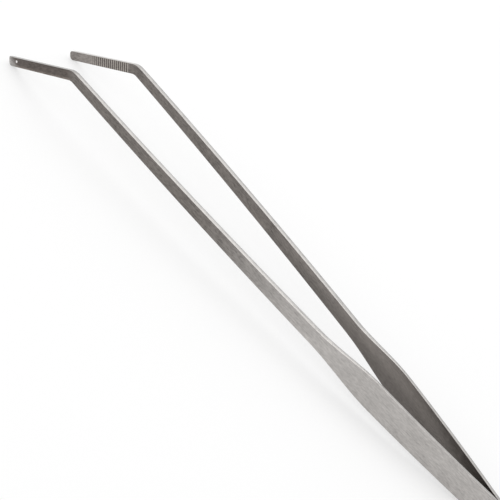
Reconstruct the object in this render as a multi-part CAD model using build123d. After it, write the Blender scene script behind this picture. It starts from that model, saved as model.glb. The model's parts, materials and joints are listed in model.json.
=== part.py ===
"""Aquascaping tweezers: long sprung tweezers with angled, serrated jaws.

Two mirror-image stainless steel blades are spot-welded together at the tail.  Each blade is wide and
thin at the grip, so that it flexes there, and narrow and thick along the shank, so that it stays
straight.  The jaw at its end is bent down in the plane of the blade's flat side and has a serrated
inner face.  The blades stand apart by their own spring, and a squeeze brings the jaws together.

A blade is drawn lying straight: x runs from the tail to the jaws, y is the way in which the blades
open, with the left blade at +y, and z is across the flat side.  The finished pair is tipped on to the
points that it rests on, the tail and the jaws, with the origin at its bottom centre.

A sprung blade bends all along the thin grip.  One hinge stands in for that, at the place about which
the stiff shank swings, so each blade is made as a fixed tail and a moving arm.
"""

import os
from math import atan2, cos, degrees, radians, sin, tan

from build123d import *

# Stations along the blade in millimetres, counted from the butt.
WELD_LENGTH = 19.0
FLEX_POINT = 40.0
SHOULDER_REAR = 71.0
SHOULDER_FRONT = 99.5
BEND_POINT = 236.0
JAW_LENGTH = 38.2

# Widths of the flat side.
TAIL_WIDTH = 9.0
GRIP_WIDTH = 10.6
SHANK_WIDTH = 5.7
NECK_WIDTH = 3.7
JAW_END_WIDTH = 3.4
TAIL_CORNER_RADIUS = 3.5
LEFT_NOSE_RADIUS = 0.4
RIGHT_NOSE_RADIUS = 1.1
JAW_TOE_RADIUS = 1.7

# Thicknesses of the strip.
GRIP_THICKNESS = 1.2
SHANK_THICKNESS = 1.9
EDGE_RADIUS = 0.15

# The jaw's bend down, in the plane of the flat side.
JAW_BEND = 29.4
BEND_RADIUS = 7.0

# How a blade leaves the middle plane: its heading in degrees at the end of each stretch.
SPREAD_HEADING = 8.5
SPREAD_RADIUS = 30.0
SHOULDER_REAR_HEADING = 4.8
SHOULDER_FRONT_HEADING = 4.15
NECK_HEADING = 0.9
JAW_HEADING = -0.5

# Nose of each jaw: ground to a rounded taper on the outside.
NOSE_LENGTH = 5.0
NOSE_DEPTH = 0.5

# Cross grooves on the inner face of each jaw; the first few, next to the smooth end, are shallower.
GROOVE_COUNT = 20
GROOVE_PITCH = 1.16
GROOVE_DEPTH = 0.3
GROOVE_LEAD_IN = 6
SMOOTH_END_LENGTH = 11.9

# The small hole through the end of the left jaw.
HOLE_DIAMETER = 1.0
HOLE_SETBACK = 5.3
HOLE_RISE = 0.35

# Spot welds: the nugget fused between the tails, and the dimples that the electrodes leave outside.
WELD_COUNT = 2
WELD_PITCH = 7.5
FIRST_WELD = 5.75
NUGGET_DIAMETER = 3.6
NUGGET_DEPTH = 0.5
DIMPLE_DIAMETER = 4.0
DIMPLE_DEPTH = 0.12

# The hinge that stands in for the flexing of the grip.
KNUCKLE_RADIUS = 3.0
KNUCKLE_CLEARANCE = 0.03


def jaw_point(distance, rise=0.0):
    """A point (x, z) so far from the bend point along the jaw, and so far above its centre line."""
    along, down = cos(radians(JAW_BEND)), sin(radians(JAW_BEND))
    return (BEND_POINT + distance * along + rise * down, rise * along - distance * down)


def edge_direction(start, end):
    """The direction of a straight edge, as a tangent for the curve that joins on to it."""
    return (end[0] - start[0], end[1] - start[1])


BEND_SETBACK = BEND_RADIUS * tan(radians(JAW_BEND / 2))
NECK_REAR = BEND_POINT - BEND_SETBACK
NECK_FRONT = jaw_point(BEND_SETBACK)[0]
REACH = 2 * (BEND_POINT + JAW_LENGTH)


def centre_line():
    """Stations (x, y, heading, thickness) on the middle of the left blade's strip, tail to jaw end."""
    spread = radians(SPREAD_HEADING)
    rise = SPREAD_RADIUS * (1 - cos(spread))
    spread_front = WELD_LENGTH + SPREAD_RADIUS * sin(spread)
    half = GRIP_THICKNESS / 2
    stations = [
        (0.0, half, 0.0, GRIP_THICKNESS),
        (WELD_LENGTH, half, 0.0, GRIP_THICKNESS),
        (spread_front, half + rise, SPREAD_HEADING, GRIP_THICKNESS),
    ]
    for x, heading, thickness in (
        (SHOULDER_REAR, SHOULDER_REAR_HEADING, GRIP_THICKNESS),
        (SHOULDER_FRONT, SHOULDER_FRONT_HEADING, SHANK_THICKNESS),
        (NECK_REAR, NECK_HEADING, SHANK_THICKNESS),
        (NECK_FRONT, JAW_HEADING, SHANK_THICKNESS),
        (jaw_point(JAW_LENGTH)[0] + JAW_END_WIDTH, JAW_HEADING, SHANK_THICKNESS),
    ):
        last_x, last_y, last_heading, _ = stations[-1]
        chord = radians((last_heading + heading) / 2)
        stations.append((x, last_y + (x - last_x) * tan(chord), heading, thickness))
    return stations


STATIONS = centre_line()


def face_point(station, side):
    """A station's point on the left blade's outer (+1) or inner (-1) face."""
    x, y, _, thickness = station
    return (x, y + side * thickness / 2)


def face_curve(side):
    """The left blade's outer (+1) or inner (-1) face as a chain of edges, seen along z."""
    edges = []
    for start, end in zip(STATIONS, STATIONS[1:]):
        first, last = face_point(start, side), face_point(end, side)
        headings = [(cos(radians(s[2])), sin(radians(s[2]))) for s in (start, end)]
        if start[2] == end[2]:
            edges.append(Line(first, last))
        elif start[3] == end[3]:
            edges.append(TangentArc(first, last, tangent=headings[0]))
        else:
            edges.append(Spline(first, last, tangents=headings))
    return edges


def strip():
    """The left blade's strip with its spread, bow and thickening, much too wide."""
    outer, inner = face_curve(+1), face_curve(-1)
    butt = Line(inner[0] @ 0, outer[0] @ 0)
    end = Line(outer[-1] @ 1, inner[-1] @ 1)
    return extrude(make_face(outer + inner + [butt, end]), REACH, both=True)


def blank(nose_radius):
    """The outline of the blade's flat side, drawn in x and z and made much too thick."""
    grip, shank, neck = GRIP_WIDTH / 2, SHANK_WIDTH / 2, NECK_WIDTH / 2
    corner_shift = neck * tan(radians(JAW_BEND / 2))
    shanks = {side: (SHOULDER_FRONT, side * shank) for side in (+1, -1)}
    corners = {side: (BEND_POINT + side * corner_shift, side * neck) for side in (+1, -1)}
    ends = {side: jaw_point(JAW_LENGTH, side * JAW_END_WIDTH / 2) for side in (+1, -1)}
    front = FilletPolyline(
        [shanks[1], corners[1], ends[1], ends[-1], corners[-1], shanks[-1]],
        radius=[BEND_RADIUS + neck, nose_radius, JAW_TOE_RADIUS, BEND_RADIUS - neck],
    )
    butts = {side: (0.0, side * TAIL_WIDTH / 2) for side in (+1, -1)}
    grips = {side: (SHOULDER_REAR, side * grip) for side in (+1, -1)}
    rear = FilletPolyline([grips[-1], butts[-1], butts[1], grips[1]], radius=TAIL_CORNER_RADIUS)
    shoulders = [
        Spline(
            grips[side],
            shanks[side],
            tangents=[edge_direction(butts[side], grips[side]), edge_direction(shanks[side], corners[side])],
        )
        for side in (+1, -1)
    ]
    return extrude(make_face(front.edges() + rear.edges() + shoulders), REACH, both=True)


def jaw_frame(distance, rise=0.0):
    """The left jaw's inner face: x along the jaw, y out through its thickness, z up across it."""
    x, z = jaw_point(distance, rise)
    rear_x, rear_y = face_point(STATIONS[-2], -1)
    slope = tan(radians(JAW_HEADING))
    lean = degrees(atan2(slope * cos(radians(JAW_BEND)), 1.0))
    return Pos(x, rear_y + (x - rear_x) * slope, z) * Rot(0, JAW_BEND, 0) * Rot(0, 0, lean)


def prism(corners):
    """A cutter that runs right across the blade's width, with its section given in x and y."""
    return extrude(make_face(Polyline(corners, close=True)), GRIP_WIDTH, both=True)


def nose_taper():
    """What is ground off the outside of the jaw's end, along an arc that leaves the face smoothly."""
    start, end = (-NOSE_LENGTH, SHANK_THICKNESS), (0.0, SHANK_THICKNESS - NOSE_DEPTH)
    arc = TangentArc(start, end, tangent=(1, 0))
    past = arc @ 1 + (arc % 1) * NOSE_LENGTH
    rest = Polyline((arc @ 1, past, (past.X, 2 * SHANK_THICKNESS), (start[0], 2 * SHANK_THICKNESS), arc @ 0))
    section = make_face(arc.edges() + rest.edges())
    return jaw_frame(JAW_LENGTH) * extrude(section, GRIP_WIDTH, both=True)


def groove(index):
    """One V groove across the jaw's inner face, counted from the smooth end."""
    depth = GROOVE_DEPTH * min(1.0, (index + 1) / GROOVE_LEAD_IN)
    setback = SMOOTH_END_LENGTH + index * GROOVE_PITCH
    corners = [(-2 * depth, -depth), (2 * depth, -depth), (0.0, depth)]
    return jaw_frame(JAW_LENGTH - setback) * prism(corners)


def disc(x, y, diameter, depth):
    """A round cutter or nugget that lies through the strip of the tail, centred at (x, y)."""
    return Pos(x, y, 0) * Rot(90, 0, 0) * Cylinder(diameter / 2, depth)


WELD_PLACES = [FIRST_WELD + index * WELD_PITCH for index in range(WELD_COUNT)]


def spot_weld(x):
    """The nugget of fused steel that lies half in each tail."""
    return disc(x, 0, NUGGET_DIAMETER, 2 * NUGGET_DEPTH)


def rounded(blade):
    """The blade with the long edges of its flat sides rounded over."""
    faces = blade.faces()
    flats = [face for face in faces if abs(face.normal_at(face.center()).Y) > cos(radians(45))]
    rims = [face for face in faces if abs(face.normal_at(face.center()).Y) < cos(radians(45))]
    rim_edges = [edge for face in rims for edge in face.edges()]
    edges = [edge for face in flats for edge in face.edges()]
    return fillet([edge for edge in edges if any(edge.is_same(other) for other in rim_edges)], EDGE_RADIUS)


def whole_blade(nose_radius):
    """A whole blade as it lies on the left, with its nose's upper corner rounded so much."""
    blade = rounded(strip() & Plane.XZ.location * blank(nose_radius))
    blade -= nose_taper()
    for index in range(GROOVE_COUNT):
        blade -= groove(index)
    for x in WELD_PLACES:
        blade -= spot_weld(x)
        blade -= disc(x, GRIP_THICKNESS, DIMPLE_DIAMETER, 2 * DIMPLE_DEPTH)
    return blade


def jaw_hole():
    """The hole through the end of the left jaw."""
    drill = Rot(90, 0, 0) * Cylinder(HOLE_DIAMETER / 2, 4 * SHANK_THICKNESS)
    return jaw_frame(JAW_LENGTH - HOLE_SETBACK, HOLE_RISE) * drill


def flex_centre():
    """The hinge's place (x, y): in the middle of the strip, part of the way along the grip's arc."""
    rear, front = STATIONS[2], STATIONS[3]
    start, end = tan(radians(rear[2])), tan(radians(front[2]))
    run = FLEX_POINT - rear[0]
    return (FLEX_POINT, rear[1] + run * start + run**2 * (end - start) / (2 * (front[0] - rear[0])))


def ahead_of_flex(radius):
    """Everything ahead of the hinge, and everything within a radius of it."""
    x, y = flex_centre()
    knuckle = Pos(x, y, 0) * Cylinder(radius, 2 * GRIP_WIDTH)
    ahead = Pos(x + REACH / 2, y, 0) * Box(REACH, REACH, REACH)
    return knuckle + ahead


def resting_pitch():
    """How far the blades' noses are raised for the line under the butt and jaws to lie level."""
    flare = (GRIP_WIDTH - TAIL_WIDTH) / (2 * SHOULDER_REAR)
    butt_x, butt_z = TAIL_CORNER_RADIUS, TAIL_CORNER_RADIUS * (1 - flare) - TAIL_WIDTH / 2
    jaw_x, jaw_z = jaw_point(JAW_LENGTH - JAW_TOE_RADIUS, JAW_TOE_RADIUS - JAW_END_WIDTH / 2)
    run, drop = jaw_x - butt_x, butt_z - jaw_z
    rounding = TAIL_CORNER_RADIUS - JAW_TOE_RADIUS
    return degrees(atan2(drop, run)) - degrees(atan2(rounding, run))


def parted(blade):
    """A left blade's fixed tail and its moving arm."""
    tail = blade - ahead_of_flex(KNUCKLE_RADIUS + KNUCKLE_CLEARANCE)
    arm = blade & ahead_of_flex(KNUCKLE_RADIUS)
    return tail, arm


def pieces():
    """Every piece by name, the two blades mirror images of each other but for the nose and its hole."""
    left_tail, left_arm = parted(whole_blade(LEFT_NOSE_RADIUS))
    right_tail, right_arm = (mirror(piece, Plane.XZ) for piece in parted(whole_blade(RIGHT_NOSE_RADIUS)))
    return {
        "left_tail": left_tail,
        "left_arm": left_arm - jaw_hole(),
        "right_tail": right_tail,
        "right_arm": right_arm,
        "spot_welds": Compound(children=[spot_weld(x) for x in WELD_PLACES]),
    }


PIECES = pieces()
TIPPED = Rot(0, -resting_pitch(), 0)
BOX = Compound(children=[TIPPED * piece for piece in PIECES.values()]).bounding_box()
STANCE = Pos(-BOX.center().X, 0, -BOX.min.Z) * TIPPED

os.makedirs("parts", exist_ok=True)
for name, piece in PIECES.items():
    export_step(STANCE * piece, f"parts/{name}.step")
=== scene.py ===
"""Aquascaping tweezers, dressed for rendering.

Two stainless steel blades, spot-welded face to face at the tail, with angled and serrated jaws.  A blade
is worked out in millimetres, lying straight, and then placed in the frame by its flex joint.
"""

import json
from math import atan2, cos, hypot, pi, radians, sin, sqrt, tan

import bpy
from mathutils import Matrix, Vector


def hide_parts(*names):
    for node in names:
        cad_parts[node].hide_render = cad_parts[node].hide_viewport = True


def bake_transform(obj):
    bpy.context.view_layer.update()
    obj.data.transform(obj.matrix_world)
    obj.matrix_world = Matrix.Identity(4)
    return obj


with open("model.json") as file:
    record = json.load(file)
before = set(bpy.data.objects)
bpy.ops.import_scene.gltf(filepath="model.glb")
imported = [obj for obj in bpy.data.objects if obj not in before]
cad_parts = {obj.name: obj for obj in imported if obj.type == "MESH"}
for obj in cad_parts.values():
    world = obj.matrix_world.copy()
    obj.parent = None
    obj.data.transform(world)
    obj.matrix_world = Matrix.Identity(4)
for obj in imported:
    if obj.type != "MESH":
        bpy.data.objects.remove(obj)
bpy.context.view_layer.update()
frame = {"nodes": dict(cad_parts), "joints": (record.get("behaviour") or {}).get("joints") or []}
joints = {joint["name"]: joint for joint in frame["joints"]}

# ---------------------------------------------------------------------------------------------------
# The strip.  A blade is blanked from stainless strip, rolled wide and thin at the grip, left narrow
# and thick along the shank, bent down on edge at the jaw, and spread where it leaves the weld.
# ---------------------------------------------------------------------------------------------------
MM = 0.001
WELD_LENGTH = 19.0
FLEX_POINT = 40.0
SHOULDER_REAR = 71.0
SHOULDER_FRONT = 99.5
BEND_POINT = 236.0
JAW_LENGTH = 38.2
TAIL_WIDTH = 9.0
GRIP_WIDTH = 10.6
SHANK_WIDTH = 5.7
NECK_WIDTH = 3.7
JAW_END_WIDTH = 3.4
BUTT_CORNER = 3.5
JAW_TOE_CORNER = 1.7
GRIP_THICKNESS = 1.2
SHANK_THICKNESS = 1.9
JAW_BEND = radians(29.4)
BEND_RADIUS = 7.0
SPREAD_RADIUS = 30.0
SPREAD_HEADING = 8.5
SHOULDER_REAR_HEADING = 4.8
SHOULDER_FRONT_HEADING = 4.15
NECK_HEADING = 0.9
JAW_HEADING = -0.5

SETBACK = BEND_RADIUS * tan(JAW_BEND / 2)
BEND_START = BEND_POINT - SETBACK
BEND_END = BEND_START + BEND_RADIUS * JAW_BEND
STRIP_LENGTH = BEND_END + JAW_LENGTH - SETBACK
JAW_CENTRE = BEND_END - SETBACK


def spine(s):
    """The strip's middle line at a distance s from the butt: x, z, and how far it has turned down."""
    if s <= BEND_START:
        return s, 0.0, 0.0
    if s <= BEND_END:
        turn = (s - BEND_START) / BEND_RADIUS
        return BEND_START + BEND_RADIUS * sin(turn), BEND_RADIUS * (cos(turn) - 1), turn
    past = s - JAW_CENTRE
    return BEND_POINT + past * cos(JAW_BEND), -past * sin(JAW_BEND), JAW_BEND


def ease(start, end, share, start_slope=0.0, end_slope=0.0):
    """A cubic from start to end as share goes from 0 to 1, with the slope given at each end."""
    a, b = share * share, share * share * share
    rise = start + (end - start) * (3 * a - 2 * b)
    return rise + start_slope * (b - 2 * a + share) + end_slope * (b - a)


def half_width(s):
    """Half the width of the flat side."""
    tail, grip, shank, neck, end = (
        width / 2 for width in (TAIL_WIDTH, GRIP_WIDTH, SHANK_WIDTH, NECK_WIDTH, JAW_END_WIDTH)
    )
    shoulder = SHOULDER_FRONT - SHOULDER_REAR
    middle = (BEND_START + BEND_END) / 2
    flare = (grip - tail) / SHOULDER_REAR
    taper = (neck - shank) / (middle - SHOULDER_FRONT)
    if s < SHOULDER_REAR:
        return tail + flare * s
    if s < SHOULDER_FRONT:
        return ease(grip, shank, (s - SHOULDER_REAR) / shoulder, flare * shoulder, taper * shoulder)
    if s < middle:
        return shank + taper * (s - SHOULDER_FRONT)
    return neck + (end - neck) * (s - middle) / (STRIP_LENGTH - middle)


def stations():
    """Where the strip's middle is, its heading and its thickness, at the end of each stretch."""
    spread = radians(SPREAD_HEADING)
    half = GRIP_THICKNESS / 2
    places = [
        (0.0, half, 0.0, GRIP_THICKNESS),
        (WELD_LENGTH, half, 0.0, GRIP_THICKNESS),
        (
            WELD_LENGTH + SPREAD_RADIUS * sin(spread),
            half + SPREAD_RADIUS * (1 - cos(spread)),
            SPREAD_HEADING,
            GRIP_THICKNESS,
        ),
    ]
    bowed = [
        (SHOULDER_REAR, SHOULDER_REAR_HEADING, GRIP_THICKNESS),
        (SHOULDER_FRONT, SHOULDER_FRONT_HEADING, SHANK_THICKNESS),
        (BEND_START, NECK_HEADING, SHANK_THICKNESS),
        (spine(BEND_END)[0], JAW_HEADING, SHANK_THICKNESS),
        (spine(STRIP_LENGTH)[0] + JAW_END_WIDTH, JAW_HEADING, SHANK_THICKNESS),
    ]
    for x, heading, thickness in bowed:
        last_x, last_y, last_heading, _ = places[-1]
        chord = radians((last_heading + heading) / 2)
        places.append((x, last_y + (x - last_x) * tan(chord), heading, thickness))
    return places


STATIONS = stations()


def middle(x):
    """How far the left strip's middle stands off the join between the blades, and its thickness."""
    for start, end in zip(STATIONS, STATIONS[1:]):
        if x <= end[0]:
            break
    run = end[0] - start[0]
    share = (x - start[0]) / run
    slopes = (run * tan(radians(start[2])), run * tan(radians(end[2])))
    return ease(start[1], end[1], share, *slopes), ease(start[3], end[3], share)


# ---------------------------------------------------------------------------------------------------
# The jaws.  Their inner faces are serrated with a row of V cuts, which get shallower towards the smooth
# nose.  The nose is ground to a rounded taper outside.
# ---------------------------------------------------------------------------------------------------
GROOVE_COUNT = 20
GROOVE_PITCH = 1.16
GROOVE_DEPTH = 0.3
GROOVE_LEAD_IN = 6
SMOOTH_END_LENGTH = 11.9
NOSE_LENGTH = 5.0
NOSE_DEPTH = 0.5
HOLE_DIAMETER = 1.0
HOLE_SETBACK = 5.3
HOLE_RISE = 0.35

FIRST_GROOVE = STRIP_LENGTH - SMOOTH_END_LENGTH
LAST_GROOVE = FIRST_GROOVE - (GROOVE_COUNT - 1) * GROOVE_PITCH


def groove_depth(index):
    """How deep a V cut goes, counted back from the one nearest the nose."""
    return GROOVE_DEPTH * min(1.0, (index + 1) / GROOVE_LEAD_IN)


def nearest_groove(s):
    """How far off the middle of the nearest V cut is, and how deep that cut goes."""
    index = round((FIRST_GROOVE - s) / GROOVE_PITCH)
    if not 0 <= index < GROOVE_COUNT:
        return 0.0, 0.0
    return abs(s - FIRST_GROOVE + index * GROOVE_PITCH), groove_depth(index)


def cut_depth(s):
    """How deep the serration goes into the inner face."""
    off, depth = nearest_groove(s)
    return max(0.0, depth - off)


def ground_depth(s):
    """How much the grinding takes off the outer face at the nose."""
    return NOSE_DEPTH * max(0.0, 1 - (STRIP_LENGTH - s) / NOSE_LENGTH) ** 2


# ---------------------------------------------------------------------------------------------------
# The welded tail.  The electrodes of the spot welder pinch the two tails together between them, and
# leave a shallow round dimple in the outside of each.
# ---------------------------------------------------------------------------------------------------
WELD_PITCH = 7.5
WELD_PLACES = ((WELD_LENGTH - WELD_PITCH) / 2, (WELD_LENGTH + WELD_PITCH) / 2)
DIMPLE_RADIUS = 2.0
DIMPLE_DEPTH = 0.12
DIMPLE_WALL = 0.4


def dimple_depth(s, rise):
    """How deep the electrodes' dimples go into the outer face, with a soft wall round a flat floor."""
    nearest = min(hypot(s - place, rise) for place in WELD_PLACES)
    inward = (1 - nearest / DIMPLE_RADIUS) / DIMPLE_WALL
    return DIMPLE_DEPTH * ease(0.0, 1.0, min(1.0, max(0.0, inward)))


# ---------------------------------------------------------------------------------------------------
# The mesh of a blade: rungs along the strip, each with steps across it and steps round its rim.  The
# corners between the flat and the narrow sides are only lightly rounded.
# ---------------------------------------------------------------------------------------------------
CORNER_RADIUS = 0.15
CORNER_STEPS = 6
ACROSS_STEPS = 24
ACROSS_EDGE = 0.975
END_STEPS = 10
DIMPLE_STEP = 0.3
SPREAD_STEP = 0.4
GRIP_STEP = 1.5
SHOULDER_STEP = 1.0
SHANK_STEP = 2.0
BEND_STEP = 0.4
GROOVE_RUNGS = (-1, -0.5, 0, 0.5, 1)
SMOOTH_END_STEP = 0.5
NOSE_STEP = 0.3
FACE, SIDE, CUT, BORE = range(4)


def spaced(start, end, step):
    """Places from start up to but not including end, about a step apart."""
    count = max(1, round((end - start) / step))
    return [start + (end - start) * index / count for index in range(count)]


def rungs():
    """Every rung, as the end that it rounds and how far round, or as None and a place on the strip."""
    turns = [index / END_STEPS for index in range(END_STEPS)]
    grooves = []
    for index in reversed(range(GROOVE_COUNT)):
        centre = FIRST_GROOVE - index * GROOVE_PITCH
        grooves += [centre + share * groove_depth(index) for share in GROOVE_RUNGS]
        grooves.append(centre + GROOVE_PITCH / 2)
    spread_end = STATIONS[2][0]
    nose_start = STRIP_LENGTH - NOSE_LENGTH
    corner_start = STRIP_LENGTH - JAW_TOE_CORNER
    stretches = (
        spaced(BUTT_CORNER, WELD_LENGTH, DIMPLE_STEP)
        + spaced(WELD_LENGTH, spread_end, SPREAD_STEP)
        + spaced(spread_end, SHOULDER_REAR, GRIP_STEP)
        + spaced(SHOULDER_REAR, SHOULDER_FRONT, SHOULDER_STEP)
        + spaced(SHOULDER_FRONT, BEND_START, SHANK_STEP)
        + spaced(BEND_START, grooves[0], BEND_STEP)
        + grooves
        + spaced(grooves[-1] + BEND_STEP, nose_start, SMOOTH_END_STEP)
        + spaced(nose_start, corner_start, NOSE_STEP)
    )
    return (
        [("butt", turn) for turn in turns]
        + [(None, s) for s in stretches]
        + [("jaw", turn) for turn in (1.0, *reversed(turns))]
    )


def rim():
    """Steps round a long side from the outer face to the inner: how far in, which half, how far down."""
    outer = []
    for index in range(CORNER_STEPS + 1):
        turn = (pi / 2) * index / CORNER_STEPS
        outer.append((CORNER_RADIUS * (1 - sin(turn)), 1, CORNER_RADIUS * (1 - cos(turn))))
    return outer + [(0.0, 0, 0.0)] + [(inset, -1, drop) for inset, _, drop in reversed(outer)]


def across():
    """Steps across the flat side, from -1 to 1, with one close to each long side to keep it crisp."""
    inside = spaced(-1, 1, 2 / ACROSS_STEPS)[1:]
    return [-1, -ACROSS_EDGE, *inside, ACROSS_EDGE, 1]


RUNGS = rungs()
RIM = rim()
ACROSS = across()


def corner_loss(corner, depth, inset):
    """How much of the width an end's rounded corner takes away, at a depth from that end."""
    if depth >= corner:
        return inset
    return corner - sqrt(max(0.0, (corner - inset) ** 2 - (corner - depth) ** 2))


def rung_place(rung, inset, nose_corner):
    """Where a rung is along the strip, its lowest and its highest rise, that far in from the outline."""
    end, value = rung
    if end is None:
        reach = half_width(value) - inset
        return value, -reach, reach
    upper, lower = (BUTT_CORNER, BUTT_CORNER) if end == "butt" else (nose_corner, JAW_TOE_CORNER)
    depth = inset + (lower - inset) * (1 - cos(value * pi / 2))
    s = depth if end == "butt" else STRIP_LENGTH - depth
    half = half_width(s)
    return s, corner_loss(lower, depth, inset) - half, half - corner_loss(upper, depth, inset)


def blade_point(rung, share, step, nose_corner):
    """A point of the left blade, in millimetres, as it lies straight."""
    inset, half, drop = step
    s, lowest, highest = rung_place(rung, inset, nose_corner)
    rise = lowest + (highest - lowest) * (share + 1) / 2
    x, z, turn = spine(s)
    x += rise * sin(turn)
    z += rise * cos(turn)
    y, thickness = middle(x)
    if half > 0:
        return Vector((x, y + thickness / 2 - drop - ground_depth(s) - dimple_depth(s, rise), z))
    if half < 0:
        return Vector((x, y - thickness / 2 + max(drop, cut_depth(s)), z))
    return Vector((x, y, z))


def shell(nose_corner):
    """The points and faces of a blade, and for each face which finish it has."""
    last = (len(RUNGS) - 1, len(ACROSS) - 1, len(RIM) - 1)
    numbers, points, faces, finishes = {}, [], [], []

    def number(key):
        if key not in numbers:
            numbers[key] = len(points)
            points.append(blade_point(RUNGS[key[0]], ACROSS[key[1]], RIM[key[2]], nose_corner))
        return numbers[key]

    for axis in range(3):
        first, second = (axis + 1) % 3, (axis + 2) % 3
        for level in (0, last[axis]):
            for a in range(last[first]):
                for b in range(last[second]):
                    keys = []
                    for step_a, step_b in ((0, 0), (1, 0), (1, 1), (0, 1)):
                        key = [0, 0, 0]
                        key[axis], key[first], key[second] = level, a + step_a, b + step_b
                        keys.append(tuple(key))
                    corners = [number(key) for key in keys]
                    faces.append(corners if level else corners[::-1])
                    depth = min(key[2] for key in keys)
                    on_face = axis == 2 or min(depth, last[2] - 1 - depth) < CORNER_STEPS // 2
                    finishes.append(FACE if on_face else SIDE)
    return points, faces, finishes


def unwrap(x, z):
    """The distance along the strip, and the rise across it, of a place on the flat side."""
    turn = atan2(x - BEND_START, z + BEND_RADIUS)
    if turn <= 0:
        return x, z
    if turn <= JAW_BEND:
        return BEND_START + BEND_RADIUS * turn, hypot(x - BEND_START, z + BEND_RADIUS) - BEND_RADIUS
    ahead = x - BEND_POINT
    down, level = sin(JAW_BEND), cos(JAW_BEND)
    return JAW_CENTRE + ahead * level - z * down, ahead * down + z * level


# ---------------------------------------------------------------------------------------------------
# Stainless steel.  The flat sides keep the long grain of the belt that finished them, and the narrow
# sides a smooth band where the punch sheared the strip and a duller one where it tore.  Both have faint
# clouding and stray scratches of use.  The flat sides' tones hold painted light and shade, toward the butt
# the sides are painted brighter, and there the fingers' wear leaves the flat sides less mottled.
# ---------------------------------------------------------------------------------------------------
# The flat sides' tone is painted dark, a painted shade for the dark surroundings that they mirror.
FACE_TONE = (0.178, 0.162, 0.150)
# Painted light: the outer flat sides brighter toward the butt, a painted sheen.
GRIP_SHEEN_TONE = (0.456, 0.437, 0.421)
# Painted shade and painted light: the inner flat sides near the grip darker toward the lower edge and
# lighter toward the upper.
LOWER_INSIDE_SHADE_TONE = (0.153, 0.139, 0.129)
UPPER_INSIDE_LIGHT_TONE = (0.240, 0.219, 0.203)
# Painted shade on the jaws' outer faces, and a painted reflection on their inner faces.
OUTER_JAW_SHADE_TONE = (0.113, 0.096, 0.087)
INNER_JAW_SHEEN_TONE = (0.248, 0.226, 0.212)
# Painted shade on the lands between the V cuts.
LAND_SHADE_TONE = (0.110, 0.095, 0.087)
# Painted light along the lower edge of the jaws' outer faces.
LOWER_EDGE_SHEEN_TONE = (0.207, 0.178, 0.158)
# The nose is ground, and its tone is painted light, lighter toward its end and its lower edge.
GROUND_NOSE_SHEEN_TONE = (0.445, 0.424, 0.41)
SHEARED_TONE = (0.412, 0.397, 0.384)
TORN_TONE = (0.39, 0.38, 0.37)
CUT_TONE = (0.33, 0.305, 0.282)
BORE_TONE = (0.95, 0.94, 0.93)
STRAW_TINT = (0.36, 0.27, 0.16)
BLUE_TINT = (0.17, 0.19, 0.26)
# Where the painted light fades in toward the butt, and where the fingers' wear smooths the mottling.
WORN_AND_LIT_FROM = 165.0
WORN_AND_LIT_FULL = 93.0
# Painted light on the narrow sides toward the butt.
GRIP_SHEEN_GAIN = 1.15
# A painted highlight on the right jaw's narrow sides.
RIGHT_JAW_SHEEN_GAIN = 1.5
MOTTLED = 1.3
MOTTLED_HANDLED = 0.65
# Where the painted light on the inner flat sides comes in, along the strip and across it.
INSIDE_LIGHT_FROM = 150.0
INSIDE_LIGHT_FULL = 130.0
INSIDE_LIGHT_RISE = (-0.35 * SHANK_WIDTH, 0.6 * SHANK_WIDTH)
LOWER_EDGE_RISE = (-0.2 * JAW_END_WIDTH, -0.5 * JAW_END_WIDTH)
OUTER_THROUGH = (0.0, 0.2)
TORN_TO_SHEARED = (-0.03, 0.03)
STRAW_RING = (3.6, 2.4)
BLUE_RING = (2.5, 1.7)
WELD_TINT = 0.5
NOSE_FADE = 6.0


def add(tree, kind, values=(), **settings):
    """A new shader node: its settings, then its inputs by name or number, each a socket or a value."""
    made = tree.nodes.new(f"ShaderNode{kind}")
    for name, value in settings.items():
        setattr(made, name, value)
    for name, value in dict(values).items():
        if isinstance(value, bpy.types.NodeSocket):
            tree.links.new(value, made.inputs[name])
        else:
            made.inputs[name].default_value = value
    return made


def maths(tree, operation, *values):
    """The result of a Math node."""
    return add(tree, "Math", enumerate(values), operation=operation).outputs[0]


def ramp(tree, value, start, end, low=0.0, high=1.0):
    """A value eased from low to high while it goes from start to end."""
    values = {"Value": value, "From Min": start, "From Max": end, "To Min": low, "To Max": high}
    return add(tree, "MapRange", values, interpolation_type="SMOOTHSTEP").outputs["Result"]


def blend_tone(tree, share, first, second):
    """One colour mixed into another by a share."""
    tones = [(*tone, 1.0) if isinstance(tone, tuple) else tone for tone in (first, second)]
    mixed = add(tree, "Mix", {0: share, 6: tones[0], 7: tones[1]}, data_type="RGBA")
    return mixed.outputs[2]


def new_group(name, inputs, output):
    """An empty node group with float inputs after its place, and one float output."""
    tree = bpy.data.node_groups.new(name, "ShaderNodeTree")
    tree.interface.new_socket("Place", in_out="INPUT", socket_type="NodeSocketVector")
    for socket, value in inputs.items():
        made = tree.interface.new_socket(socket, in_out="INPUT", socket_type="NodeSocketFloat")
        made.default_value = value
    tree.interface.new_socket(output, in_out="OUTPUT", socket_type="NodeSocketFloat")
    return tree, tree.nodes.new("NodeGroupInput").outputs, tree.nodes.new("NodeGroupOutput").inputs


def belt_grain():
    """Lines drawn along the strip: how many there are to a millimetre, and how long for their width."""
    tree, given, wanted = new_group("belt_grain", {"Lines": 9.0, "Length": 60.0}, "Grain")
    lines = given["Lines"]
    scale = add(tree, "CombineXYZ", {0: maths(tree, "DIVIDE", lines, given["Length"]), 1: lines, 2: lines})
    stretched = add(tree, "VectorMath", {0: given["Place"], 1: scale.outputs[0]}, operation="MULTIPLY")
    noise = add(tree, "TexNoise", {"Vector": stretched.outputs[0], "Scale": 1.0, "Detail": 3.0})
    tree.links.new(maths(tree, "SUBTRACT", noise.outputs["Fac"], 0.5), wanted["Grain"])
    return tree


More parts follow.
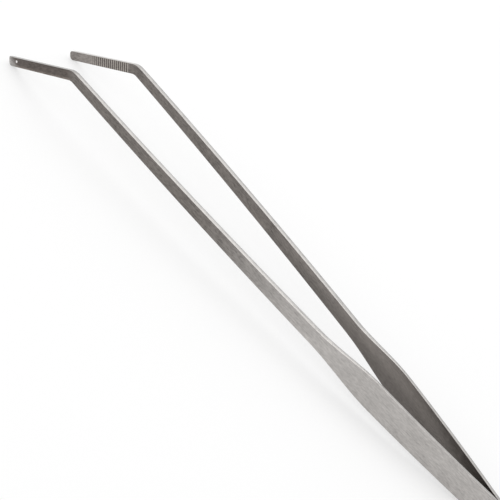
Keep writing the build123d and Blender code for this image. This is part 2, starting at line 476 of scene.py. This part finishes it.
def clouding():
    """Soft patches, so many millimetres across, where the steel took the finish unevenly."""
    tree, given, wanted = new_group("clouding", {"Size": 5.0}, "Clouding")
    scale = maths(tree, "DIVIDE", 1.0, given["Size"])
    noise = add(tree, "TexNoise", {"Vector": given["Place"], "Scale": scale, "Detail": 2.0})
    tree.links.new(maths(tree, "SUBTRACT", noise.outputs["Fac"], 0.5), wanted["Clouding"])
    return tree


SCRATCH_DRAWN_OUT = 0.02
SCRATCH_THROUGH = 0.2
SCRATCH_PATCHES = 0.12
SCRATCH_CREST = (0.68, 0.74)
SCRATCH_PATCH = (0.5, 0.62)


def stray_scratches():
    """Thin scratches of use in patches, running at one angle to the strip."""
    inputs = {"Turn": 0.4, "Width": 0.06, "Share": 0.5}
    tree, given, wanted = new_group("stray_scratches", inputs, "Scratches")
    turn = {"Vector": given["Place"], "Angle": given["Turn"]}
    turned = add(tree, "VectorRotate", turn, rotation_type="Z_AXIS").outputs[0]
    fine = maths(tree, "DIVIDE", 1.0, given["Width"])
    drawn_out = maths(tree, "MULTIPLY", fine, SCRATCH_DRAWN_OUT)
    scale = add(tree, "CombineXYZ", {0: drawn_out, 1: fine, 2: SCRATCH_THROUGH})
    drawn = add(tree, "VectorMath", {0: turned, 1: scale.outputs[0]}, operation="MULTIPLY")
    lines = add(tree, "TexNoise", {"Vector": drawn.outputs[0], "Scale": 1.0, "Detail": 1.0})
    patches = add(tree, "TexNoise", {"Vector": turned, "Scale": SCRATCH_PATCHES, "Detail": 1.0})
    thin = ramp(tree, lines.outputs["Fac"], *SCRATCH_CREST)
    here = ramp(tree, patches.outputs["Fac"], *SCRATCH_PATCH)
    mask = maths(tree, "MULTIPLY", maths(tree, "MULTIPLY", thin, here), given["Share"])
    tree.links.new(mask, wanted["Scratches"])
    return tree


GRAIN, CLOUDING, SCRATCHES = belt_grain(), clouding(), stray_scratches()


def on_the_strip(tree):
    """Where a point is on the strip, in millimetres: along it, across it and through it."""
    return add(tree, "Attribute", attribute_name="strip").outputs["Vector"]


PIT_LINES = 1.8
PIT_LENGTH = 3.0
CLOUD_SIZE = 5.0
CLOUD_SHARE = 0.5
GRAIN_SHARE = 0.7
GLOSS_CHANGE = 0.3
SCRATCH_GLINT = 0.5
SCRATCH_DEPTH = 0.7
BUMP_STRENGTH = 0.5


def steel(name, tone, roughness, lines, length, mottled, scratched, height, place_on=on_the_strip):
    """A steel finish, whose tone and mottling are values, or functions of the place.

    Its grain has so many lines to a millimetre, so long for their width, and a height in millimetres.
    """
    material = bpy.data.materials.new(name)
    material.use_nodes = True
    tree = material.node_tree
    shader = tree.nodes["Principled BSDF"]
    place = place_on(tree)
    placed = {"Place": place}
    brushed = {"Lines": lines, "Length": length}
    grain = add(tree, "Group", placed | brushed, node_tree=GRAIN).outputs[0]
    pitted = {"Lines": PIT_LINES, "Length": PIT_LENGTH}
    pits = add(tree, "Group", placed | pitted, node_tree=GRAIN).outputs[0]
    cloud = add(tree, "Group", placed | {"Size": CLOUD_SIZE}, node_tree=CLOUDING).outputs[0]
    scratch = add(tree, "Group", placed | {"Share": scratched}, node_tree=SCRATCHES).outputs[0]
    plain = tone(tree, place) if callable(tone) else tone
    mottled = mottled(tree, place) if callable(mottled) else mottled
    spotted = maths(tree, "ADD", pits, maths(tree, "MULTIPLY", cloud, CLOUD_SHARE))
    patchy = maths(tree, "MULTIPLY", spotted, mottled)
    uneven = maths(tree, "MULTIPLY_ADD", grain, GRAIN_SHARE, patchy)
    glint = maths(tree, "MULTIPLY", scratch, SCRATCH_GLINT)
    lit = maths(tree, "ADD", maths(tree, "ADD", uneven, 1.0), glint)
    shaded = add(tree, "VectorMath", {0: plain, "Scale": lit}, operation="SCALE").outputs[0]
    rough = maths(tree, "MULTIPLY_ADD", uneven, GLOSS_CHANGE, roughness)
    heights = maths(tree, "SUBTRACT", grain, maths(tree, "MULTIPLY", scratch, SCRATCH_DEPTH))
    relief = {"Height": heights, "Strength": BUMP_STRENGTH, "Distance": height * MM}
    shader.inputs["Metallic"].default_value = 1.0
    tree.links.new(shaded, shader.inputs["Base Color"])
    tree.links.new(rough, shader.inputs["Roughness"])
    tree.links.new(add(tree, "Bump", relief).outputs[0], shader.inputs["Normal"])
    return material


def nearest_weld(tree, s, rise):
    """How far a place is from the middle of the nearest spot weld."""
    middle_place = sum(WELD_PLACES) / 2
    apart = WELD_PLACES[1] - WELD_PLACES[0]
    off_middle = maths(tree, "ABSOLUTE", maths(tree, "SUBTRACT", s, middle_place))
    off_weld = maths(tree, "SUBTRACT", off_middle, apart / 2)
    square = maths(tree, "MULTIPLY_ADD", off_weld, off_weld, maths(tree, "MULTIPLY", rise, rise))
    return maths(tree, "SQRT", square)


def grip_tone(tree, s, rise, outside):
    """The tone from butt to bend, with painted light: brighter outside toward the butt, lighter toward the
    upper edge inside.
    """
    # Painted light on the outer flat sides, growing toward the butt.
    grip_sheen = maths(tree, "MULTIPLY", ramp(tree, s, WORN_AND_LIT_FROM, WORN_AND_LIT_FULL), outside)
    tone = blend_tone(tree, grip_sheen, FACE_TONE, GRIP_SHEEN_TONE)
    # Painted light: the inner flat sides lighter toward the upper edge, near the grip.
    upper = ramp(tree, rise, *INSIDE_LIGHT_RISE)
    inside_tone = blend_tone(tree, upper, LOWER_INSIDE_SHADE_TONE, UPPER_INSIDE_LIGHT_TONE)
    inside = maths(tree, "SUBTRACT", 1.0, outside)
    inside_light = maths(tree, "MULTIPLY", ramp(tree, s, INSIDE_LIGHT_FROM, INSIDE_LIGHT_FULL), inside)
    return blend_tone(tree, inside_light, tone, inside_tone)


def jaw_tone(tree, s, rise, outside):
    """The jaws' tone, painted light and shade: a painted reflection inside and painted shade outside,
    painted shade on the lands between the cuts, and painted light along the lower edge outside.
    """
    # Painted shade on the lands between the cuts, fainter by the shallow lead-in cuts.
    serrated = add(tree, "Attribute", attribute_name="serrated").outputs["Fac"]
    inner_tone = blend_tone(tree, serrated, INNER_JAW_SHEEN_TONE, LAND_SHADE_TONE)
    in_jaw = ramp(tree, s, LAST_GROOVE - GROOVE_PITCH, LAST_GROOVE - GROOVE_PITCH / 2)
    inner_tone = blend_tone(tree, in_jaw, FACE_TONE, inner_tone)
    # Painted light: the jaw's outer face lighter toward its lower edge.
    outer_tone = blend_tone(tree, ramp(tree, rise, *LOWER_EDGE_RISE), OUTER_JAW_SHADE_TONE, LOWER_EDGE_SHEEN_TONE)
    return blend_tone(tree, outside, inner_tone, outer_tone)


def face_tone(tree, place):
    """The flat sides' tone, from the grip's to the jaws', tinted round a weld, with painted light on the
    ground nose.
    """
    s, rise, through = add(tree, "SeparateXYZ", {0: place}).outputs
    outside = ramp(tree, through, *OUTER_THROUGH)
    past_bend = ramp(tree, s, BEND_START, LAST_GROOVE - GROOVE_PITCH)
    tone = grip_tone(tree, s, rise, outside)
    tone = blend_tone(tree, past_bend, tone, jaw_tone(tree, s, rise, outside))
    off_weld = nearest_weld(tree, s, rise)
    for tint, ring in ((STRAW_TINT, STRAW_RING), (BLUE_TINT, BLUE_RING)):
        heated = maths(tree, "MULTIPLY", ramp(tree, off_weld, *ring), outside)
        tone = blend_tone(tree, maths(tree, "MULTIPLY", heated, WELD_TINT), tone, tint)
    # Painted light on the ground nose outside, lighter toward the end and the lower edge.
    slant = maths(tree, "SUBTRACT", s, rise)
    ground_and_lit = maths(tree, "MULTIPLY", ramp(tree, slant, STRIP_LENGTH - NOSE_FADE, STRIP_LENGTH), outside)
    return blend_tone(tree, ground_and_lit, tone, GROUND_NOSE_SHEEN_TONE)


def face_mottling(tree, place):
    """How mottled the flat sides are, less so toward the butt, where the fingers wear them."""
    s = add(tree, "SeparateXYZ", {0: place}).outputs[0]
    return ramp(tree, s, WORN_AND_LIT_FROM, WORN_AND_LIT_FULL, MOTTLED, MOTTLED_HANDLED)


def side_tone(tree, place):
    """The narrow sides' tone: two bands, painted brighter toward the butt, and a painted highlight on the
    right jaw.
    """
    off_middle = add(tree, "Attribute", attribute_name="punched").outputs["Fac"]
    banded = blend_tone(tree, ramp(tree, off_middle, *TORN_TO_SHEARED), TORN_TONE, SHEARED_TONE)
    s = add(tree, "SeparateXYZ", {0: place}).outputs[0]
    # Painted light: the narrow sides brighter toward the butt.
    side_grip_sheen = ramp(tree, s, WORN_AND_LIT_FROM, WORN_AND_LIT_FULL, 1.0, GRIP_SHEEN_GAIN)
    # Painted highlight on the right jaw's narrow sides.
    right_jaw_sheen = add(tree, "Attribute", attribute_name="right_jaw_sheen").outputs["Fac"]
    brighter = maths(tree, "MULTIPLY_ADD", right_jaw_sheen, RIGHT_JAW_SHEEN_GAIN - 1, side_grip_sheen)
    return add(tree, "VectorMath", {0: banded, "Scale": brighter}, operation="SCALE").outputs[0]


FINISHES = [
    steel(
        "brushed_flat", face_tone, roughness=0.34, lines=9.0, length=70.0,
        mottled=face_mottling, scratched=0.6, height=0.02,
    ),
    steel(
        "blanked_side", side_tone, roughness=0.30, lines=12.0, length=40.0,
        mottled=0.5, scratched=0.3, height=0.02,
    ),
    steel(
        "cut_serration", CUT_TONE, roughness=0.38, lines=10.0, length=4.0,
        mottled=0.6, scratched=0.0, height=0.02,
    ),
    steel(
        "drilled_bore", BORE_TONE, roughness=0.15, lines=10.0, length=4.0,
        mottled=0.2, scratched=0.0, height=0.01,
    ),
]


# ---------------------------------------------------------------------------------------------------
# The two blades.  Each is one piece of strip from butt to jaw, with no hinge in it.  The right blade
# mirrors the left, but its nose is rounder and has no hole, and its jaw's narrow sides carry a painted
# highlight.
# ---------------------------------------------------------------------------------------------------
SHARP_ANGLE = radians(16)
CUT_WALL_SLOPE = 0.3
DRILL_SIDES = 48
DRILL_LENGTH = 4 * SHANK_THICKNESS
LEFT_NOSE_CORNER = 0.4
RIGHT_NOSE_CORNER = 1.1

UP = Vector(joints["right_flex"]["axis"])
ALONG = Vector((UP.z, 0.0, -UP.x))
FLEX = Vector(joints["left_flex"]["pos_m"])
BUTT = Vector((FLEX.x, 0.0, FLEX.z)) - ALONG * FLEX_POINT * MM


def placing(side):
    """From a blade lying straight, in millimetres, to its place in the frame."""
    columns = (ALONG * MM, Vector((0.0, side * MM, 0.0)), UP * MM)
    matrix = Matrix(columns).transposed().to_4x4()
    matrix.translation = BUTT
    return matrix


def drill_nose(piece):
    """The small hole through the nose of the jaw."""
    x, z, turn = spine(STRIP_LENGTH - HOLE_SETBACK)
    centre = (x + HOLE_RISE * sin(turn), middle(x)[0], z + HOLE_RISE * cos(turn))
    bpy.ops.mesh.primitive_cylinder_add(
        vertices=DRILL_SIDES,
        radius=HOLE_DIAMETER / 2,
        depth=DRILL_LENGTH,
        location=centre,
        rotation=(pi / 2, 0.0, 0.0),
    )
    drill = bpy.context.object
    for _ in FINISHES:
        drill.data.materials.append(None)
    drill.data.polygons.foreach_set("material_index", [BORE] * len(drill.data.polygons))
    cut = piece.modifiers.new("nose_hole", "BOOLEAN")
    cut.object = drill
    cut.solver = "EXACT"
    drilled = bpy.data.meshes.new_from_object(piece.evaluated_get(bpy.context.evaluated_depsgraph_get()))
    piece.modifiers.clear()
    piece.data = drilled
    bpy.data.objects.remove(drill)


def jaw_share(s):
    """How far a place is round the bend, from 0 along the shank to 1 along the jaw."""
    return min(1.0, max(0.0, (s - BEND_START) / (BEND_END - BEND_START)))


def finish_mesh(mesh, side):
    """The strip's own coordinates for the grain, the jaw's finishes, and smooth or crisp edges.

    Each attribute is filled before the next one is added, because adding one can move the others.
    """
    jaw = Vector((cos(JAW_BEND), 0.0, -sin(JAW_BEND)))
    for polygon in mesh.polygons:
        s, _ = unwrap(polygon.center.x, polygon.center.z)
        near_cuts = LAST_GROOVE - GROOVE_PITCH < s < FIRST_GROOVE + GROOVE_PITCH
        if near_cuts and abs(polygon.normal.dot(jaw)) > CUT_WALL_SLOPE:
            polygon.material_index = CUT
    places = []
    for vertex in mesh.vertices:
        s, rise = unwrap(vertex.co.x, vertex.co.z)
        places.append((s, rise, vertex.co.y - middle(vertex.co.x)[0]))
    strip = mesh.attributes.new("strip", "FLOAT_VECTOR", "POINT")
    strip.data.foreach_set("vector", [number for place in places for number in place])
    punched = mesh.attributes.new("punched", "FLOAT", "POINT")
    punched.data.foreach_set("value", [side * through for _, _, through in places])
    # Where the painted highlight on the right jaw's narrow sides goes.
    right_jaw_sheen = mesh.attributes.new("right_jaw_sheen", "FLOAT", "POINT")
    right_jaw_sheen.data.foreach_set("value", [jaw_share(s) if side < 0 else 0.0 for s, _, _ in places])
    depths = [nearest_groove(s)[1] for s, _, _ in places]
    # Where the painted shade between the cuts goes, by how deep the nearest cut is.
    serrated = mesh.attributes.new("serrated", "FLOAT", "POINT")
    serrated.data.foreach_set("value", [(depth / GROOVE_DEPTH) ** 2 for depth in depths])
    mesh.shade_smooth()
    mesh.set_sharp_from_angle(angle=SHARP_ANGLE)


def blade(name, side, nose_corner):
    """A blade on the left (+1) or the right (-1), in one piece from the tail to its own arm."""
    points, faces, finishes = shell(nose_corner)
    mesh = bpy.data.meshes.new(name)
    mesh.from_pydata(points, [], faces)
    for finish in FINISHES:
        mesh.materials.append(finish)
    mesh.polygons.foreach_set("material_index", finishes)
    piece = bpy.data.objects.new(name, mesh)
    bpy.context.scene.collection.objects.link(piece)
    if side > 0:
        drill_nose(piece)
    finish_mesh(piece.data, side)
    place = placing(side)
    piece.data.transform(place)
    if side < 0:
        piece.data.flip_normals()
    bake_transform(piece)
    return piece


left_blade = blade("left_spring_blade", 1, LEFT_NOSE_CORNER)
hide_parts("left_tail", "left_arm")
right_blade = blade("right_spring_blade", -1, RIGHT_NOSE_CORNER)
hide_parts("right_tail", "right_arm")


# ---------------------------------------------------------------------------------------------------
# The spot welds.  Two nuggets of steel, fused by the current between the tails, hold the blades face to
# face.  They keep their own solids, with the coarse grain of metal that has melted.
# ---------------------------------------------------------------------------------------------------
WELD_TONE = (0.34, 0.32, 0.30)


def in_the_weld(tree):
    """Where a point is in the frame, in millimetres."""
    place = add(tree, "TexCoord").outputs["Object"]
    return add(tree, "VectorMath", {0: place, "Scale": 1 / MM}, operation="SCALE").outputs[0]


weld_steel = steel(
    "fused_weld", WELD_TONE, roughness=0.55, lines=3.0, length=1.0,
    mottled=1.0, scratched=0.0, height=0.05, place_on=in_the_weld,
)
for weld_slot in frame["nodes"]["spot_welds"].material_slots:
    weld_slot.material = weld_steel


# ---------------------------------------------------------------------------------------------------
# The stage: a pale floor that glows a little where it is seen or mirrored, a pale surround and two soft
# lamps.  The camera is behind and above the tail on the left blade's side, tilted, and looks forward.
# ---------------------------------------------------------------------------------------------------
FLOOR_SIZE = 8.0
FLOOR_TONE = (0.94, 0.94, 0.94)
FLOOR_GLOW = 0.5
FLOOR_ROUGHNESS = 0.9
FLOOR_SPECULAR = 0.1
SURROUND = (1.0, 1.0, 1.0)
SURROUND_LIGHT = 0.93
CAMERA_PLACE = Vector((-0.28459, 0.38943, 0.31702))
CAMERA_AIM = Vector((-0.00507, 0.0181, 0.02294))
CAMERA_ROLL = radians(24.0005)
CAMERA_LENS = 123.8
CAMERA_NEAR = 0.01

bpy.ops.mesh.primitive_plane_add(size=FLOOR_SIZE)
floor = bpy.context.object
floor.name = "floor"
floor_paint = bpy.data.materials.new("floor_paint")
floor_paint.use_nodes = True
floor_shader = floor_paint.node_tree.nodes["Principled BSDF"]
floor_shader.inputs["Base Color"].default_value = (*FLOOR_TONE, 1.0)
floor_shader.inputs["Roughness"].default_value = FLOOR_ROUGHNESS
floor_shader.inputs["Specular IOR Level"].default_value = FLOOR_SPECULAR
floor_tree = floor_paint.node_tree
rays = add(floor_tree, "LightPath").outputs
seen = maths(floor_tree, "ADD", rays["Is Camera Ray"], rays["Is Glossy Ray"])
seen = maths(floor_tree, "ADD", seen, rays["Is Transmission Ray"])
glow = add(floor_tree, "Emission", {"Color": (1.0, 1.0, 1.0, 1.0), "Strength": 1.0}).outputs[0]
paler = maths(floor_tree, "MULTIPLY", seen, FLOOR_GLOW)
pale = add(floor_tree, "MixShader", {0: paler, 1: floor_shader.outputs[0], 2: glow}).outputs[0]
floor_tree.links.new(pale, floor_tree.nodes["Material Output"].inputs["Surface"])
floor.data.materials.append(floor_paint)

world = bpy.data.worlds.new("surround")
world.use_nodes = True
background = world.node_tree.nodes["Background"]
background.inputs["Color"].default_value = (*SURROUND, 1.0)
background.inputs["Strength"].default_value = SURROUND_LIGHT
bpy.context.scene.world = world


def softbox(name, direction, distance, size, glow):
    """A square soft lamp that faces the tweezers from a direction, with how bright its cloth is."""
    lamp = bpy.data.lights.new(name, "AREA")
    lamp.size = size
    lamp.energy = glow * pi * size**2
    holder = bpy.data.objects.new(name, lamp)
    holder.location = Vector(direction).normalized() * distance
    holder.rotation_euler = Vector(direction).to_track_quat("Z", "Y").to_euler()
    bpy.context.scene.collection.objects.link(holder)


softbox("key_softbox", direction=(0.5, -0.35, 0.8), distance=0.9, size=0.6, glow=1.3)
softbox("fill_softbox", direction=(-0.69, 0.7, 0.2), distance=1.2, size=0.7, glow=1.0)

camera = bpy.data.objects.new("camera", bpy.data.cameras.new("camera"))
camera.data.lens = CAMERA_LENS
camera.data.clip_start = CAMERA_NEAR
camera.location = CAMERA_PLACE
aim = (CAMERA_AIM - CAMERA_PLACE).to_track_quat("-Z", "Y").to_matrix()
camera.rotation_euler = (aim @ Matrix.Rotation(CAMERA_ROLL, 3, "Z")).to_euler()
bpy.context.scene.collection.objects.link(camera)
bpy.context.scene.camera = camera
bpy.context.scene.view_settings.view_transform = "Standard"
